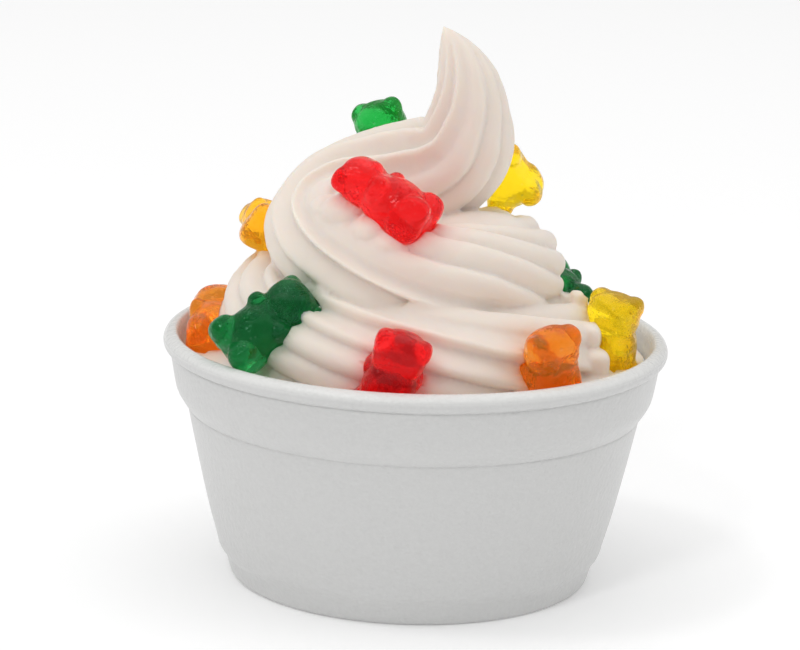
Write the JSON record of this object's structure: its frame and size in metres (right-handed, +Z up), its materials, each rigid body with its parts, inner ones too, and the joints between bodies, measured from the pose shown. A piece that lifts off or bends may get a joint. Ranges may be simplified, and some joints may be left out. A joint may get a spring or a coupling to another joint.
{
  "type": "frozen yogurt cup",
  "caption": "White foam cup filled with a tall ribbed swirl of frozen yogurt that ends in a curled tip, topped with coloured gummy bears.",
  "frame": {"origin": "centre of the cup's flat foot, on the surface it stands on", "axes": "+Z up along the cup's axis; -Y towards the viewer, +X to the viewer's right; the swirl's tip curls towards -X above the cup's axis"},
  "size_m": [0.09, 0.09, 0.0995],
  "materials": {
    "foam": "expanded polystyrene foam, moulded, fine bead cells, dull with a soft sheen on the rim",
    "yogurt": "soft serve frozen yogurt, off-white, smooth and moist, slightly translucent",
    "gummy_red": "translucent cherry red gelatine, lightly oiled",
    "gummy_green": "translucent dark green gelatine, lightly oiled",
    "gummy_lime": "translucent light green gelatine, lightly oiled",
    "gummy_orange": "translucent orange gelatine, lightly oiled",
    "gummy_amber": "translucent amber gelatine, lightly oiled",
    "gummy_yellow": "translucent yellow gelatine, lightly oiled"
  },
  "bodies": {
    "root": {"cup": "foam", "swirl": "yogurt", "bear_lime_top": "gummy_lime", "bear_red_upper": "gummy_red", "bear_yellow_back": "gummy_yellow", "bear_amber_back": "gummy_amber", "bear_orange_left": "gummy_orange", "bear_green_front": "gummy_green", "bear_red_front": "gummy_red", "bear_orange_front": "gummy_orange", "bear_yellow_right": "gummy_yellow", "bear_green_back": "gummy_green"}
  },
  "joints": []
}
